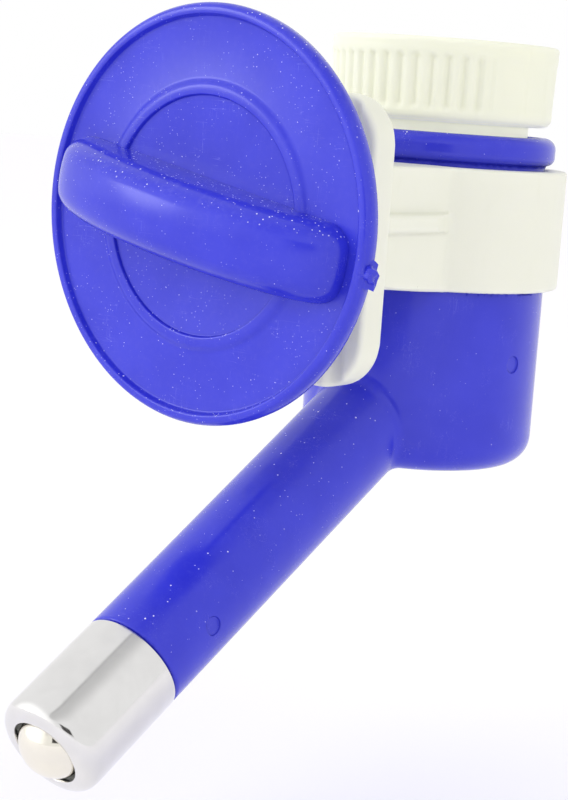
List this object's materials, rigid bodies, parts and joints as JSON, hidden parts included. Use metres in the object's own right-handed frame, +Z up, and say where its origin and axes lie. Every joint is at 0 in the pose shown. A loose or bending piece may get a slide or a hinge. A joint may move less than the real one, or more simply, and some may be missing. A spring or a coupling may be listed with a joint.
{
  "type": "pet water bottle drinking head",
  "caption": "Cage-mounted drinking head for a pet water bottle: threaded collar on a cup with an angled spout, lick-ball tip, bracket and screw clamp knob.",
  "frame": {"origin": "where the clamp screw's axis meets the front face of the bracket's plate", "axes": "+Z up along the cup and bottle axis, -Y forward towards the knob, +X to the right"},
  "size_m": [0.0562, 0.1026, 0.1031],
  "materials": {
    "blue_plastic": "smooth moulded, low gloss",
    "cream_plastic": "smooth moulded, satin",
    "bright_steel": "bright polished",
    "ball_steel": "mirror polished",
    "black_rubber": "matt",
    "silicone": "satin",
    "natural_plastic": "satin"
  },
  "bodies": {
    "bracket": {"mount_bracket": "cream_plastic"},
    "spout": {"spout_body": "blue_plastic", "tip_ferrule": "bright_steel", "valve_seat_seal": "silicone", "valve_insert": "natural_plastic", "valve_spring": "ball_steel", "tip_o_ring": "black_rubber"},
    "ball": {"lick_ball": "ball_steel"},
    "collar_seals": {"bottle_gasket": "black_rubber", "collar_o_ring": "black_rubber"},
    "collar": {"bottle_collar": "cream_plastic"},
    "screw": {"clamp_screw": "blue_plastic"},
    "knob": {"clamp_knob": "blue_plastic"}
  },
  "joints": [
    {"name": "body_swivel", "type": "hinge", "parent": "bracket", "child": "spout", "pos_m": [0, 0.0385, 0], "axis": [0, 0, 1], "continuous": true},
    {"name": "ball_push", "type": "slide", "parent": "spout", "child": "ball", "axis": [0, 0.866, 0.5], "range_m": [0, 0.0016], "stiffness_N_per_m": 150, "deforming": ["valve_spring"]},
    {"name": "collar_rise", "type": "slide", "parent": "spout", "child": "collar_seals", "axis": [0, 0, 1], "range_m": [-0.0011, 0.0091]},
    {"name": "collar_turn", "type": "hinge", "parent": "collar_seals", "child": "collar", "pos_m": [0, 0.0385, 0], "axis": [0, 0, 1], "range_deg": [-130, 1080]},
    {"name": "knob_travel", "type": "slide", "parent": "bracket", "child": "screw", "axis": [0, 1, 0], "range_m": [-0.0041, 0.0122]},
    {"name": "knob_turn", "type": "hinge", "parent": "screw", "child": "knob", "pos_m": [0, 0, 0], "axis": [0, 1, 0], "range_deg": [-480, 1440]}
  ],
  "couplings": [
    {"joint": "collar_rise", "follows": "collar_turn", "m_per_rad": 0.00047746},
    {"joint": "knob_travel", "follows": "knob_turn", "m_per_rad": 0.00047746}
  ]
}
